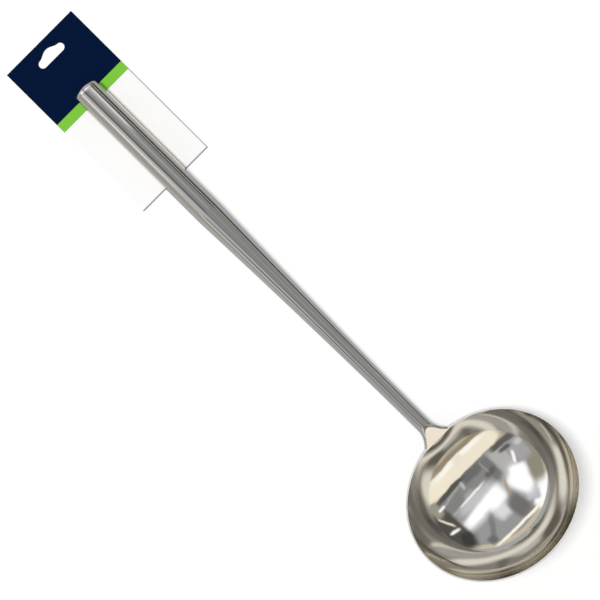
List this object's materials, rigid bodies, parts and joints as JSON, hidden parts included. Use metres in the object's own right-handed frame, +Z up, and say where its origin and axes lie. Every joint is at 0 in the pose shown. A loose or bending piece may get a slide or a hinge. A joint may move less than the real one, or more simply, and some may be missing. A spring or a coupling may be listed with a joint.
{
  "type": "render scoop",
  "caption": "Long-handled round-bowled scoop in polished and brushed stainless steel, lying bowl up on the hanging card glued under its grip.",
  "frame": {"origin": "on the table, under the middle of the whole scoop and card", "axes": "+X along the handle towards the bowl, +Y across the bowl, +Z up from the table"},
  "size_m": [0.688, 0.175, 0.1129],
  "materials": {
    "polished_steel": "mirror polished stainless steel",
    "brushed_steel": "fine brushed along the handle",
    "weld_steel": "dressed weld, satin",
    "card": "smooth coated card",
    "glue": "hot-melt glue, satin"
  },
  "bodies": {
    "root": {"bowl": "polished_steel", "handle_tube": "brushed_steel", "seam_weld": "weld_steel", "neck_weld": "weld_steel", "end_cap": "brushed_steel", "hang_card": "card", "glue_dot_1": "glue", "glue_dot_2": "glue", "glue_dot_3": "glue"}
  },
  "joints": []
}
